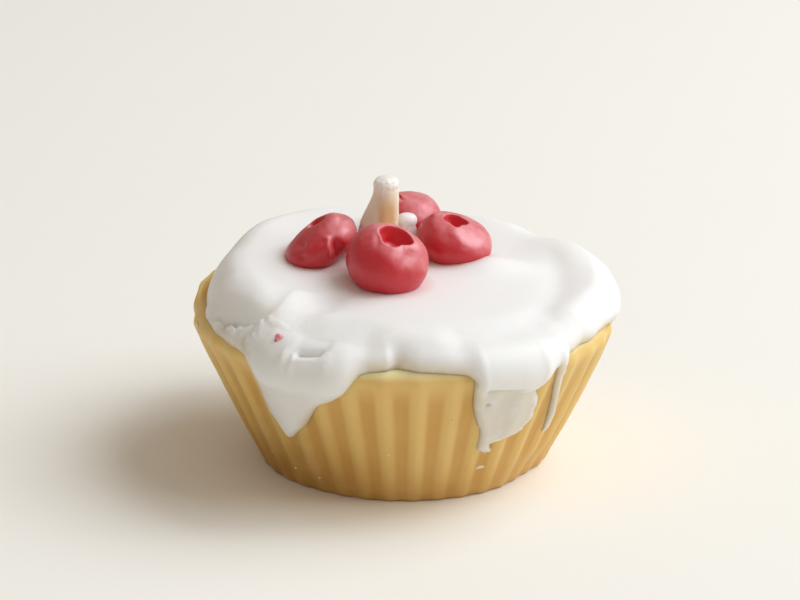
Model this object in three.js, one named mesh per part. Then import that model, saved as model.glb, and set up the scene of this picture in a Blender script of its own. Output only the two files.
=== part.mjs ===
// A wax candle made as a small iced cake: a fluted wax cake, a poured wax icing that drips down its
// side, four cored wax berries on top, and a short waxed wick with a bead of wax beside it.
// Millimetres, +Z up. The candle stands on z = 0 with its axis on the Z axis. Azimuths are in degrees,
// from 0 at the front (-Y) towards the right (+X).
import * as THREE from "three";

// The cake: a tapered, fluted block with a round rim.
const FOOT_RADIUS = 23.1;
const SIDE_SLOPE = 0.472;
const CAKE_HEIGHT = 25.2;
const RIM_ROUND = 2;
const FOOT_ROUND = 0.9;
const FLUTES = 38;
const FLUTE_DEPTH = 0.8;
const FLUTE_TURN = 3.9;
const CREST_SHARPNESS = 0.18;
const TOP_LEAN = -0.0007;

// The icing: a thick pillow on the cake's top that thins where it hangs over the side.
const GAP = 0.35;
const COVER_THICKNESS = 6.3;
const CROWN_RISE = 0.7;
const CROWN_RADIUS = 27;
const TILT_RIGHT = -0.045;
const TILT_BACK = 0.05;
const EDGE_THICKNESS = 4.6;
const SHOULDER_START = -7;
const SHOULDER_END = 3;
const THINNING_START = 2.5;
const THINNING_END = 6;
const LIP_FADE = 9;
const EDGE_ROUND = 5;

// The icing stands thicker over the rim on the right, and is full nearer its edge there.
const EDGE_SWELL = { azimuth: 103, half: 34, rise: 1.9, round: 3.3 };
const EDGE_REACH = 1.5;
const EDGE_PATH_RADIUS = 31;
const CONTOUR_STEP = 0.5;
const CORNER_SHARPNESS = 12;
const LEAN_WINDOW = 16;
const FLUTE_SHOW_THROUGH = 1.5;

// How far the icing's edge lies out of its usual line: azimuth, added reach and half width.
const EDGE_WAVES = [
  { azimuth: -94, reach: -2.0, half: 28 },
  { azimuth: -116, reach: -0.9, half: 12 },
  { azimuth: -60, reach: 0.5, half: 6 },
  { azimuth: -1, reach: -1.3, half: 5 },
  { azimuth: 72, reach: 0.5, half: 18 },
  { azimuth: 128, reach: 0.5, half: 12 },
  { azimuth: -152, reach: 0.6, half: 14 },
];

// Drips: the azimuth and reach of the tip, the thickness over the rim and on the side, how many
// degrees the drip leans to the right with each millimetre that it runs down, and the two flanks. A
// flank spreads over some degrees, and slants up by a share of the reach, along a curve, before it
// falls off to the usual edge.
const DRIPS = [
  {
    azimuth: -40.6, reach: 17, lip: 2.6, thick: 2.1, lean: 0,
    left: { spread: 3.7, slant: 0.4, curve: 1.6 }, right: { spread: 27, slant: 1, curve: 1.1 },
  },
  {
    azimuth: -20.5, reach: 7, lip: 2.8, thick: 2.1, lean: 0,
    left: { spread: 9, slant: 0.1, curve: 1 }, right: { spread: 9, slant: 0.8, curve: 1.6 },
  },
  {
    azimuth: 18.8, reach: 18.2, lip: 2.8, thick: 1.0, lean: 0.4,
    left: { spread: 1.6, slant: 0.1, curve: 2 }, right: { spread: 3.6, slant: 0.1, curve: 2 },
  },
  {
    azimuth: 27, reach: 16.4, lip: 2.8, thick: 1.0, lean: 0.4,
    left: { spread: 8, slant: 0, curve: 1 }, right: { spread: 11.4, slant: 0.25, curve: 3 },
  },
  {
    azimuth: 34, reach: 4, lip: 2.8, thick: 1.0, lean: 0.4,
    left: { spread: 17, slant: 1, curve: 3 }, right: { spread: 15, slant: 1, curve: 1.6 },
  },
  {
    azimuth: 47, reach: 17.4, lip: 2.8, thick: 0.7, lean: 0.3,
    left: { spread: 1.3, slant: 0.1, curve: 2 }, right: { spread: 1.3, slant: 0.1, curve: 2 },
  },
  {
    azimuth: 142, reach: 8.5, lip: 3.8, thick: 2.0, lean: 0,
    left: { spread: 8, slant: 0.6, curve: 2 }, right: { spread: 10, slant: 0.8, curve: 2 },
  },
  {
    azimuth: 171, reach: 12, lip: 3.2, thick: 2.0, lean: 0,
    left: { spread: 9, slant: 0.8, curve: 1.6 }, right: { spread: 6, slant: 0.5, curve: 2 },
  },
  {
    azimuth: -138, reach: 7, lip: 4.0, thick: 2.0, lean: 0,
    left: { spread: 8, slant: 0.7, curve: 2 }, right: { spread: 9, slant: 0.9, curve: 2 },
  },
];

// Hollows and swells of the icing's top: place, half widths, the turn of their axes, and rise.
const SWELLS = [
  { x: -13, y: -19, halfX: 6.5, halfY: 5, turn: 30, rise: -1.1 },
  { x: -22, y: -18, halfX: 2.4, halfY: 8, turn: 20, rise: 0.7 },
  { x: -12, y: -27, halfX: 6, halfY: 2.5, turn: 15, rise: -0.5 },
  { x: -12, y: 22, halfX: 12, halfY: 8, turn: 0, rise: 1.0 },
  { x: -24, y: 14, halfX: 7, halfY: 8, turn: 0, rise: 1.35 },
  { x: 27, y: 9, halfX: 5.5, halfY: 9, turn: 15, rise: 2.1 },
  { x: 13, y: 25, halfX: 7, halfY: 6, turn: 0, rise: 0.7 },
  { x: -6, y: 25, halfX: 6, halfY: 4, turn: 0, rise: -0.6 },
  { x: 10, y: -1, halfX: 6, halfY: 5, turn: 0, rise: 0.7 },
  { x: 12.8, y: -1, halfX: 4, halfY: 3, turn: 30, rise: 0.9 },
];

// The swirl's groove follows a wide arc over the right of the top.
const GROOVE = { x: -22, y: 0, radius: 46.8, half: 2.6, depth: 0.8, behind: -4, before: -16 };
const GROOVE_LEFT_END = [5, 15];

// The opening under the lifted front edge.
const LIFT = { azimuth: -1.5, half: 4.5, rise: 0.3, from: -6, to: -1 };

// The berries: place and height of the middle, radius across, half height, the way the core faces
// (azimuth and lean from the vertical), and the core's radius, stretch, depth and number of points.
const BERRIES = {
  berry_front: {
    x: -2.6, y: -10.2, z: 35.7, radius: 6.5, half: 5.25, faces: 36, lean: 25,
    core: { radius: 2.5, stretch: 1.1, depth: 3.0, points: 5 },
  },
  berry_left: {
    x: -13.4, y: -0.6, z: 35.5, radius: 6.5, half: 3.45, faces: -88, lean: 33,
    core: { radius: 1.45, stretch: 1, depth: 2.2, points: 3 },
  },
  berry_right: {
    x: 8.1, y: 2.4, z: 35.1, radius: 6.15, half: 4.1, faces: 50, lean: 18,
    core: { radius: 1.8, stretch: 1.2, depth: 2.2, points: 4 },
  },
  berry_back: {
    x: 0.4, y: 12.2, z: 35.5, radius: 5.5, half: 4.4, faces: -20, lean: 12,
    core: { radius: 1.3, stretch: 1.2, depth: 2.0, points: 4 },
  },
};
const CORE_WOBBLE = 0.2;

// The wick: stations up its height, each with the middle's x and the radius.
const WICK_Y = 1.4;
const WICK_STATIONS = [
  { z: 33.45, x: -4.3, radius: 3.4 },
  { z: 36.0, x: -4.2, radius: 3.3 },
  { z: 38.6, x: -4.0, radius: 3.1 },
  { z: 41.0, x: -3.4, radius: 2.5 },
  { z: 43.3, x: -2.9, radius: 2.0 },
  { z: 45.0, x: -2.8, radius: 2.05 },
  { z: 45.8, x: -2.8, radius: 1.5 },
];
const WICK_TIP = 46.1;

// The bead of wax beside the wick: a short rounded post.
const BEAD = { x: 0.6, y: 4.4, top: 39.1, radius: 1.6, foot: 1.7 };

// Numbers of facets.
const CAKE_COLUMNS = 5 * FLUTES;
const ICING_COLUMNS = 184;
const ROUND_WEIGHT = 1.6;
const EDGE_ROOM = 1.2;
const BEND_PAST_RIM = 0.2;
const CROWDING = 1.5;
const BERRY_COLUMNS = 24;
const POST_COLUMNS = 16;

const RIM_CENTRE_Z = CAKE_HEIGHT - RIM_ROUND;
const SIDE_ANGLE = Math.atan(SIDE_SLOPE);
const RIM_CENTRE_RADIUS =
  FOOT_RADIUS + SIDE_SLOPE * RIM_CENTRE_Z - RIM_ROUND / Math.cos(SIDE_ANGLE);
const RIM_TURN = Math.PI / 2 + SIDE_ANGLE;
const RIM_ARC = RIM_ROUND * RIM_TURN;

const degrees = THREE.MathUtils.degToRad;
const mix = THREE.MathUtils.lerp;
const ease = (from, to, x) => THREE.MathUtils.smoothstep(x, from, to);
const bell = (x) => Math.exp(-x * x);
const turnBetween = (a, b) => ((a - b + 540) % 360) - 180;

// The point at an azimuth, a radius and a height.
function polar(azimuth, radius, z) {
  const angle = degrees(azimuth);
  return new THREE.Vector3(radius * Math.sin(angle), -radius * Math.cos(angle), z);
}

// The same on the cake, whose top stands a little higher on its left.
function leaningPolar(azimuth, radius, z) {
  const point = polar(azimuth, radius, z);
  point.z *= 1 + TOP_LEAN * point.x;
  return point;
}

// A closed skin from a bottom point, over rings of equally many points that run anticlockwise seen
// from above, to a top point. Each four-sided patch is split along its shorter diagonal.
function closedSkin(bottom, rings, top) {
  const columns = rings[0].length;
  const points = [bottom, ...rings.flat(), top];
  const last = points.length - 1;
  const at = (ring, column) => 1 + ring * columns + (column % columns);
  const apart = (a, b) => points[a].distanceTo(points[b]);
  const faces = [];
  for (let column = 0; column < columns; column++) {
    faces.push(0, at(0, column + 1), at(0, column));
    faces.push(last, at(rings.length - 1, column), at(rings.length - 1, column + 1));
    for (let ring = 0; ring + 1 < rings.length; ring++) {
      const [a, b] = [at(ring, column), at(ring, column + 1)];
      const [c, d] = [at(ring + 1, column + 1), at(ring + 1, column)];
      faces.push(...(apart(a, c) < apart(b, d) ? [a, b, c, a, c, d] : [a, b, d, b, c, d]));
    }
  }
  const geometry = new THREE.BufferGeometry().setFromPoints(points);
  geometry.setIndex(faces);
  geometry.computeVertexNormals();
  return geometry;
}

// The flutes' wave at an azimuth, from -1 in a groove to 1 on a crest.
function fluteWave(azimuth) {
  const phase = FLUTES * degrees(azimuth - FLUTE_TURN);
  return (Math.cos(phase) + CREST_SHARPNESS * Math.cos(2 * phase)) / (1 + CREST_SHARPNESS);
}

// The cake's outline as a path: s is the distance along it, 0 where the flat top ends and the rim's
// round begins. It gives the mean radius, the height, the outward normal and the flutes' depth.
function cakePath(s) {
  const flute = (FLUTE_DEPTH / 2) * ease(-1, RIM_ARC, s);
  if (s <= 0) {
    return { radius: RIM_CENTRE_RADIUS + s, z: CAKE_HEIGHT, out: 0, up: 1, flute };
  }
  const turn = Math.min(s / RIM_ROUND, RIM_TURN);
  const out = Math.sin(turn);
  const up = Math.cos(turn);
  const down = Math.max(0, s - RIM_ARC);
  return {
    radius: RIM_CENTRE_RADIUS + RIM_ROUND * out - down * Math.sin(SIDE_ANGLE),
    z: RIM_CENTRE_Z + RIM_ROUND * up - down * Math.cos(SIDE_ANGLE),
    out,
    up,
    flute,
  };
}

function cakeGeometry() {
  const azimuths = Array.from({ length: CAKE_COLUMNS }, (_, i) => (360 * i) / CAKE_COLUMNS);
  const ringAt = (radius, z, flute) =>
    azimuths.map((azimuth) => leaningPolar(azimuth, radius + flute * fluteWave(azimuth), z));
  const half = FLUTE_DEPTH / 2;
  const rings = [
    ringAt(FOOT_RADIUS - FOOT_ROUND, 0, half * 0.6),
    ringAt(FOOT_RADIUS - FOOT_ROUND * 0.1, FOOT_ROUND * 0.35, half * 0.9),
    ringAt(FOOT_RADIUS + SIDE_SLOPE * FOOT_ROUND, FOOT_ROUND, half),
  ];
  for (const s of [RIM_ARC, RIM_ARC * 0.75, RIM_ARC * 0.5, RIM_ARC * 0.25, -1]) {
    const edge = cakePath(s);
    rings.push(ringAt(edge.radius, edge.z, edge.flute));
  }
  return closedSkin(new THREE.Vector3(0, 0, 0), rings, new THREE.Vector3(0, 0, CAKE_HEIGHT));
}

// The flank of a drip at an azimuth, the share of its spread there, 1 or more outside it, and the
// degrees that the azimuth lies beyond it.
function flankAt(drip, azimuth) {
  const turn = turnBetween(azimuth, drip.azimuth);
  const flank = turn < 0 ? drip.left : drip.right;
  const away = Math.abs(turn);
  return { ...flank, share: away / flank.spread, beyond: Math.max(0, away - flank.spread) };
}

// One drip's reach at an azimuth, 0 outside it.
function dripReach(drip, azimuth) {
  const { share, slant, curve } = flankAt(drip, azimuth);
  if (share >= 1) {
    return 0;
  }
  return drip.reach * (1 - slant * share ** curve) * Math.sqrt(1 - share ** CORNER_SHARPNESS);
}

// How far along the cake's path the icing reaches at an azimuth.
function reach(azimuth) {
  let edge = EDGE_REACH;
  for (const wave of EDGE_WAVES) {
    edge += wave.reach * bell(turnBetween(azimuth, wave.azimuth) / wave.half);
  }
  return Math.max(edge, ...DRIPS.map((drip) => dripReach(drip, azimuth)));
}

// How much of the swell on the right there is at an azimuth.
const swollen = (azimuth) => bell(turnBetween(azimuth, EDGE_SWELL.azimuth) / EDGE_SWELL.half);

// The icing's thickness where it hangs over the side: over the rim, and further down.
function sideThickness(azimuth) {
  let lip = EDGE_THICKNESS + EDGE_SWELL.rise * swollen(azimuth);
  let thick = lip;
  for (const drip of DRIPS) {
    const { share, beyond } = flankAt(drip, azimuth);
    lip = mix(Math.min(lip, drip.lip), lip, ease(0, LIP_FADE, beyond));
    thick = share < 1 ? Math.min(thick, drip.thick) : thick;
  }
  return { lip, thick };
}

// The way an azimuth is turned when the icing runs down the side there.
function leaned(azimuth, s) {
  let lean = 0;
  for (const drip of DRIPS) {
    const window = bell(turnBetween(azimuth, drip.azimuth) / LEAN_WINDOW);
    lean = Math.max(lean, drip.lean * window);
  }
  return azimuth + lean * Math.max(0, s - EDGE_REACH);
}

// The icing's thickness over the flat top, with the crown, the tilt, the swells and the groove.
function cover(x, y) {
  const fromAxis = Math.min(1, Math.hypot(x, y) / CROWN_RADIUS);
  let height = COVER_THICKNESS + CROWN_RISE * (1 - fromAxis ** 2) + TILT_RIGHT * x + TILT_BACK * y;
  for (const swell of SWELLS) {
    const turn = degrees(swell.turn);
    const dx = x - swell.x;
    const dy = y - swell.y;
    const along = (dx * Math.cos(turn) + dy * Math.sin(turn)) / swell.halfX;
    const across = (dy * Math.cos(turn) - dx * Math.sin(turn)) / swell.halfY;
    height += swell.rise * bell(Math.hypot(along, across));
  }
  const offArc = Math.hypot(x - GROOVE.x, y - GROOVE.y) - GROOVE.radius;
  const along = ease(...GROOVE_LEFT_END, x) * ease(GROOVE.before, GROOVE.behind, -y);
  return height - GROOVE.depth * bell(offArc / GROOVE.half) * along;
}

// The height of the icing's face over the flat top.
const icingTop = (x, y) => (CAKE_HEIGHT + GAP + cover(x, y)) * (1 + TOP_LEAN * x);

// The icing's edge laid flat: distance round the cake and reach down its path.
const CONTOUR = [];
for (let azimuth = -180; azimuth <= 180; azimuth += CONTOUR_STEP) {
  CONTOUR.push(new THREE.Vector2(EDGE_PATH_RADIUS * degrees(azimuth), reach(azimuth)));
}

// The distance from a point of the icing to its edge, measured on the flat layout.
function edgeDistance(azimuth, s) {
  const point = new THREE.Vector2(EDGE_PATH_RADIUS * degrees(turnBetween(azimuth, 0)), s);
  const near = new THREE.Vector2();
  const side = new THREE.Vector2();
  let best = Infinity;
  for (let i = 1; i < CONTOUR.length; i++) {
    side.subVectors(CONTOUR[i], CONTOUR[i - 1]);
    near.subVectors(point, CONTOUR[i - 1]);
    const share = THREE.MathUtils.clamp(near.dot(side) / side.lengthSq(), 0, 1);
    best = Math.min(best, near.addScaledVector(side, -share).length());
  }
  return best;
}

// The icing's thickness at a point: full over the top, thinner on the side, round at the edge.
function thickness(azimuth, s, edge) {
  const onTop = Math.max(0, RIM_CENTRE_RADIUS + Math.min(s, 0));
  const under = polar(azimuth, onTop, 0);
  const { lip, thick } = sideThickness(azimuth);
  const overRim = mix(cover(under.x, under.y), lip, ease(SHOULDER_START, SHOULDER_END, s));
  const full = mix(overRim, Math.min(overRim, thick), ease(THINNING_START, THINNING_END, s));
  const round = mix(EDGE_ROUND, EDGE_SWELL.round, swollen(azimuth));
  const inset = Math.min(1, edge / Math.min(full, round));
  return full * Math.sqrt(1 - (1 - inset) ** 2);
}

// A point of the icing: its underside follows the cake and the flutes at a small gap, and its face
// lies a thickness further out.
function icingPoint(azimuth, s, thick) {
  const path = cakePath(s);
  const turned = leaned(azimuth, s);
  const follow = path.flute * fluteWave(turned) * Math.exp(-thick / FLUTE_SHOW_THROUGH);
  const offset = GAP + thick;
  const lift =
    LIFT.rise * bell(turnBetween(azimuth, LIFT.azimuth) / LIFT.half) * ease(LIFT.from, LIFT.to, s);
  const radius = path.radius + follow + offset * path.out;
  return leaningPolar(turned, radius, path.z + offset * path.up + lift);
}

// Azimuths whose columns are evenly spaced along the icing's edge.
function icingAzimuths() {
  const steps = 7200;
  const lengths = [0];
  for (let i = 1; i <= steps; i++) {
    const azimuth = -180 + (360 * i) / steps;
    const round = (ROUND_WEIGHT * EDGE_PATH_RADIUS * degrees(360)) / steps;
    const down = reach(azimuth) - reach(azimuth - 360 / steps);
    lengths.push(lengths[i - 1] + Math.hypot(round, down));
  }
  const azimuths = [];
  let step = 0;
  for (let column = 0; column < ICING_COLUMNS; column++) {
    const wanted = (lengths[steps] * column) / ICING_COLUMNS;
    while (lengths[step + 1] < wanted) {
      step++;
    }
    const share = (wanted - lengths[step]) / (lengths[step + 1] - lengths[step]);
    azimuths.push(-180 + (360 * (step + share)) / steps);
  }
  return azimuths;
}

// Stations along one column: those on the top, then from a start over the rim to short of the icing's
// edge. They crowd towards the rim's bend and again towards the edge, where the icing is round. Where
// the edge lies far in, the stations on the top move in with it.
function stations(onTop, start, edge, overRim, downSide) {
  const inwards = Math.min(0, edge - EDGE_ROOM);
  const first = start + inwards;
  const bend = Math.min(RIM_ARC + BEND_PAST_RIM, mix(edge, first, 0.25));
  const crowded = (share) => 1 - (1 - share) ** CROWDING;
  const list = onTop.map((s) => s + inwards);
  for (let i = 0; i < overRim; i++) {
    list.push(mix(first, bend, crowded(i / overRim)));
  }
  for (let i = 0; i < downSide; i++) {
    list.push(mix(bend, edge, crowded(i / downSide)));
  }
  return list;
}

function icingGeometry() {
  const azimuths = icingAzimuths();
  const under = [];
  const face = [];
  for (const azimuth of azimuths) {
    const edge = reach(azimuth);
    const lower = [...stations([-16, -2.5], -1.1, edge, 4, 4), edge];
    under.push(lower.map((s) => icingPoint(azimuth, s, 0)));
    const upper = stations([-22, -13, SHOULDER_START, -4.3, -2], -0.4, edge, 3, 4);
    face.push(upper.map((s) => icingPoint(azimuth, s, thickness(azimuth, s, edgeDistance(azimuth, s)))));
  }
  const ringsOf = (columns) => columns[0].map((_, ring) => columns.map((column) => column[ring]));
  const rings = [...ringsOf(under), ...ringsOf(face).reverse()];
  const centre = -RIM_CENTRE_RADIUS;
  return closedSkin(icingPoint(0, centre, 0), rings, icingPoint(0, centre, cover(0, 0)));
}

// A berry: a squashed ball whose open core has a starred mouth, tipped towards the way it faces. Its
// foot is flattened just above the icing.
function berryGeometry({ x, y, z, radius, half, faces, lean, core }) {
  const mouth = Math.asin(core.radius / radius);
  const tip = new THREE.Quaternion().setFromAxisAngle(polar(faces + 90, 1, 0), degrees(lean));
  const place = (point) => {
    point.applyQuaternion(tip).add(new THREE.Vector3(x, y, z));
    point.z = Math.max(point.z, icingTop(point.x, point.y) + GAP);
    return point;
  };
  const outside = Array.from({ length: 7 }, (_, i) => {
    const angle = mix(Math.PI, mouth, (i + 1) / 7);
    return { radius: radius * Math.sin(angle), z: half * Math.cos(angle), star: ease(3, 6, i) };
  });
  const lip = outside.at(-1).z;
  const inside = [
    { radius: core.radius * 0.8, z: lip - 0.25 * core.depth, star: 1 },
    { radius: core.radius * 0.5, z: lip - 0.75 * core.depth, star: 0.7 },
  ];
  const rings = [...outside, ...inside].map((ring) =>
    Array.from({ length: BERRY_COLUMNS }, (_, i) => {
      const turn = (360 * i) / BERRY_COLUMNS;
      const star = 1 + ring.star * CORE_WOBBLE * Math.cos(core.points * degrees(turn));
      const point = polar(turn, ring.radius * star, ring.z);
      point.x *= mix(1, core.stretch, ring.star);
      return place(point);
    }),
  );
  const foot = place(new THREE.Vector3(0, 0, -half));
  return closedSkin(foot, rings, place(new THREE.Vector3(0, 0, lip - core.depth)));
}

function postRing(x, y, z, radius) {
  return Array.from({ length: POST_COLUMNS }, (_, i) =>
    polar((360 * i) / POST_COLUMNS, radius, z).add(new THREE.Vector3(x, y, 0)),
  );
}

function wickGeometry() {
  const foot = WICK_STATIONS[0];
  const top = WICK_STATIONS.at(-1);
  return closedSkin(
    new THREE.Vector3(foot.x, WICK_Y, foot.z),
    WICK_STATIONS.map(({ x, z, radius }) => postRing(x, WICK_Y, z, radius)),
    new THREE.Vector3(top.x, WICK_Y, WICK_TIP),
  );
}

function beadGeometry() {
  const { x, y, top, radius, foot } = BEAD;
  const seat = icingTop(x, y) + GAP + 0.1;
  const neck = top - radius;
  const rings = [postRing(x, y, seat, foot), postRing(x, y, mix(seat, neck, 0.5), radius * 0.9)];
  for (const angle of [0, 30, 60]) {
    rings.push(postRing(x, y, neck + radius * Math.sin(degrees(angle)), radius * Math.cos(degrees(angle))));
  }
  return closedSkin(new THREE.Vector3(x, y, seat), rings, new THREE.Vector3(x, y, top));
}

const wax = (color, roughness) => new THREE.MeshStandardMaterial({ color, roughness, metalness: 0 });
const cakeWax = wax("#dcae66", 0.55);
const icingWax = wax("#f3f3f1", 0.5);
const berryWax = wax("#c23b44", 0.4);
const wickWax = wax("#e6d2b0", 0.6);

const candle = new THREE.Group();

function add(name, geometry, material) {
  const mesh = new THREE.Mesh(geometry, material);
  mesh.name = name;
  candle.add(mesh);
}

add("cake", cakeGeometry(), cakeWax);
add("icing", icingGeometry(), icingWax);
for (const [name, berry] of Object.entries(BERRIES)) {
  add(name, berryGeometry(berry), berryWax);
}
add("wick", wickGeometry(), wickWax);
add("bead", beadGeometry(), icingWax);

export default candle;
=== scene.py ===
"""A wax candle in the shape of a small iced cake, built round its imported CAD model.

Shapes are worked out in millimetres, +Z up, with the candle's axis on the Z axis and its front
towards -Y, and turned to metres when a mesh is made. Azimuths are in degrees, 0 at the front and
growing towards +X.
"""

import math

import bpy
import numpy as np
from mathutils import Matrix, Vector, noise
from mathutils.geometry import delaunay_2d_cdt


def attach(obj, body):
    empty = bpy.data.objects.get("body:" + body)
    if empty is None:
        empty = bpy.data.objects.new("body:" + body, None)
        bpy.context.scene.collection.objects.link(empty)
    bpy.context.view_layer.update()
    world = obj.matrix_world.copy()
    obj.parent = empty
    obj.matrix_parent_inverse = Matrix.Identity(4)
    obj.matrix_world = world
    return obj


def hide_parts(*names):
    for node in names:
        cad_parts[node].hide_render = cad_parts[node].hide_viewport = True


bl_info = {
    "name": "Cake Candle",
    "version": (1, 0, 0),
    "blender": (4, 5, 0),
    "location": "3D View > Sidebar > Candle",
    "description": "Builds a wax candle in the shape of a small iced cake",
    "category": "Add Mesh",
}

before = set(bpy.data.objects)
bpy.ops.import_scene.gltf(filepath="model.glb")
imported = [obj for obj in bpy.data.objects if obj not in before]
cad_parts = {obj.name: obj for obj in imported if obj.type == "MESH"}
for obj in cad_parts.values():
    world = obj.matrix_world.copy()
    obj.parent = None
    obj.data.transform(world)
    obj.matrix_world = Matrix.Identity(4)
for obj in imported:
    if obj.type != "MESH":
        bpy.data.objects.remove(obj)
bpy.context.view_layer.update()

MM = 0.001
HALF_TURN = 180
FULL_TURN = 360
VIEW_RISE = math.radians(18.2)  # the camera's angle above the horizontal


def linear(hex_colour):
    """An sRGB hex colour as linear red, green, blue and alpha."""
    parts = [int(hex_colour[i : i + 2], 16) / 255 for i in (1, 3, 5)]
    return [p / 12.92 if p <= 0.04045 else ((p + 0.055) / 1.055) ** 2.4 for p in parts] + [1.0]


def size(name, description, millimetres):
    return bpy.props.FloatProperty(
        name=name,
        description=description,
        default=millimetres * MM,
        min=0.0,
        unit="LENGTH",
        subtype="DISTANCE",
    )


def colour(name, description, hex_colour):
    return bpy.props.FloatVectorProperty(
        name=name,
        description=description,
        default=linear(hex_colour),
        min=0.0,
        max=1.0,
        size=4,
        subtype="COLOR",
    )


class CandleSizes(bpy.types.PropertyGroup):
    foot_radius: size("Foot radius", "Mean radius of the cup at its foot", 23.1)
    cup_height: size("Cup height", "Height of the fluted cup", 25.2)
    rim_round: size("Rim round", "Radius of the cup's rounded rim", 2.0)
    flute_depth: size("Flute depth", "Depth of the flutes from crest to groove", 0.8)
    flutes: bpy.props.IntProperty(
        name="Flutes", description="Number of flutes round the cup", default=38, min=3
    )
    icing_thickness: size("Icing thickness", "Thickness of the icing over the cup's top", 6.3)
    icing_step: size("Icing step", "Distance between the points of the icing's face", 0.42)
    wick_height: size("Wick height", "Height of the wick's tip above the foot", 46.0)


class CandleColours(bpy.types.PropertyGroup):
    cup: colour("Cup", "Ochre wax of the cup", "#e8c57a")
    # Painted shade: a deeper ochre in the grooves between the flutes, below the rim.
    groove_shade: colour("Cup grooves", "Deeper ochre in the grooves and low down", "#d5a04e")
    icing: colour("Icing", "White wax of the icing", "#f4f3f1")
    film: colour("Thin icing", "Icing where it is thin over the ochre wax", "#e6d6bd")
    # Partly a stain from the red wax, partly a painted glow of red light thrown off the berries.
    berry_tint: colour("Blush", "Icing stained by the red wax", "#e8b6b4")
    berry: colour("Berries", "Red wax of the berries", "#cb2532")
    berry_core: colour("Berry cores", "Deeper red inside the cores", "#d61b2a")
    wick: colour("Wick coat", "Pale wax round the wick", "#f3e8d4")
    wick_core: colour("Wick core", "Wick showing through its coat", "#d9a868")
    floor: colour("Floor", "Pale floor", "#f9f7f1")


def smooth(start, stop, x):
    """0 before start, 1 after stop and a smooth step between, also where stop is below start."""
    t = np.clip((x - start) / (stop - start), 0, 1)
    return t * t * (3 - 2 * t)


def bell(x):
    return np.exp(-(x**2))


def window(x, start, full, fade, stop):
    """1 from full to fade, falling smoothly to 0 at start and stop."""
    return smooth(start, full, x) * smooth(stop, fade, x)


def turn_between(a, b):
    """The turn from b to a, from -180 to 180 degrees."""
    return (a - b + FULL_TURN + HALF_TURN) % FULL_TURN - HALF_TURN


def hill(azimuth, middle, half):
    """A soft bump of 1 round an azimuth."""
    return bell(turn_between(azimuth, middle) / half)


def all_round(count):
    """Evenly spaced azimuths."""
    return FULL_TURN * np.arange(count) / count


def quarter_round(x):
    """From 0 to 1 along a quarter of a circle, steep at first."""
    return np.sqrt(1 - (1 - x) ** 2)


def soften(values, kernel, turn=0.0):
    """The values of a closed loop under a short kernel; each time round adds turn to them."""
    reach = len(kernel) // 2
    padded = np.concatenate([values[-reach:] - turn, values, values[:reach] + turn])
    return np.convolve(padded, kernel, "valid")


def polar(azimuth, radius):
    """x and y at an azimuth."""
    angle = np.radians(azimuth)
    return radius * np.sin(angle), -radius * np.cos(angle)


def grain(points, wavelength, seed, octaves=2):
    """Smooth noise from -1 to 1 at points, with features of about a wavelength."""
    offset = Vector((seed * 17.3, seed * 5.1, seed * 9.7))
    scaled = points / wavelength
    total = np.zeros(len(points))
    share = 1.0
    for _ in range(octaves):
        total += share * np.array([noise.noise(Vector(p) + offset) for p in scaled])
        scaled = scaled * 2.1
        share *= 0.5
    return total


class Cup:
    """The cup's outline as a path over its rim: s is the distance along it in millimetres, 0 where
    the flat top ends and the rim's round begins."""

    SIDE_SLOPE = 0.472
    FLUTE_TURN = 3.9
    CREST_SHARPNESS = 0.18
    TOP_LEAN = -0.0007
    RIM_RISE = 1.9
    FLAT_SIDE = (95, 42, 0.45)  # azimuth, half width and depth of a slight flat on the right
    # The foot's edge is worn back in places: azimuth, half width, depth.
    WORN_FOOT = ((57, 13, 0.9), (-33, 18, 0.3), (100, 12, 0.3))

    def __init__(self, sizes):
        self.foot_radius = sizes.foot_radius / MM
        self.height = sizes.cup_height / MM
        self.rim_round = sizes.rim_round / MM
        self.flute_depth = sizes.flute_depth / MM
        self.flutes = sizes.flutes
        self.side_angle = math.atan(self.SIDE_SLOPE)
        self.rim_centre_z = self.height - self.rim_round
        self.top_radius = (
            self.foot_radius
            + self.SIDE_SLOPE * self.rim_centre_z
            - self.rim_round / math.cos(self.side_angle)
        )
        self.rim_turn = math.pi / 2 + self.side_angle
        self.rim_arc = self.rim_round * self.rim_turn

    def path(self, s):
        """Mean radius, height and outward normal (out, up) at distances s."""
        turn = np.clip(s / self.rim_round, 0, self.rim_turn)
        out, up = np.sin(turn), np.cos(turn)
        down = np.maximum(0, s - self.rim_arc)
        radius = self.top_radius + np.minimum(s, 0) + self.rim_round * out
        radius = radius - down * math.sin(self.side_angle)
        z = self.rim_centre_z + self.rim_round * up - down * math.cos(self.side_angle)
        return radius, z, out, up

    def flute_wave(self, azimuth):
        phase = self.flutes * np.radians(azimuth - self.FLUTE_TURN)
        sharp = self.CREST_SHARPNESS
        return (np.cos(phase) + sharp * np.cos(2 * phase)) / (1 + sharp)

    def flute(self, azimuth, s):
        """How far the face stands out of the mean radius: the flutes fade out over the rim and
        are lower at the foot."""
        fade = 0.45 * smooth(-1, self.rim_arc, s) + 0.55 * smooth(2.5, 9, s)
        fade = fade * (1 - 0.6 * smooth(19, 27, s))
        middle, half, depth = self.FLAT_SIDE
        flat = depth * hill(azimuth, middle, half) * smooth(-2, 1.5, s)
        flat = flat * (1 - 1.2 * smooth(0, 17, s))
        for middle, half, depth in self.WORN_FOOT:
            flat = flat + depth * hill(azimuth, middle, half) * smooth(21.5, 27, s)
        return self.flute_depth / 2 * fade * self.flute_wave(azimuth) - flat

    def lean(self, x, z):
        """The cup's top stands a little higher on its left."""
        return z * (1 + self.TOP_LEAN * x)

    def raised(self, azimuth, s):
        """How far the outer rim is raised behind on the left, where the wax crept up its mould."""
        behind_left = window(azimuth, -138, -122, -98, -84)
        return self.RIM_RISE * behind_left * window(s, 0.4, 1.6, 2.5, 9)


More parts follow.
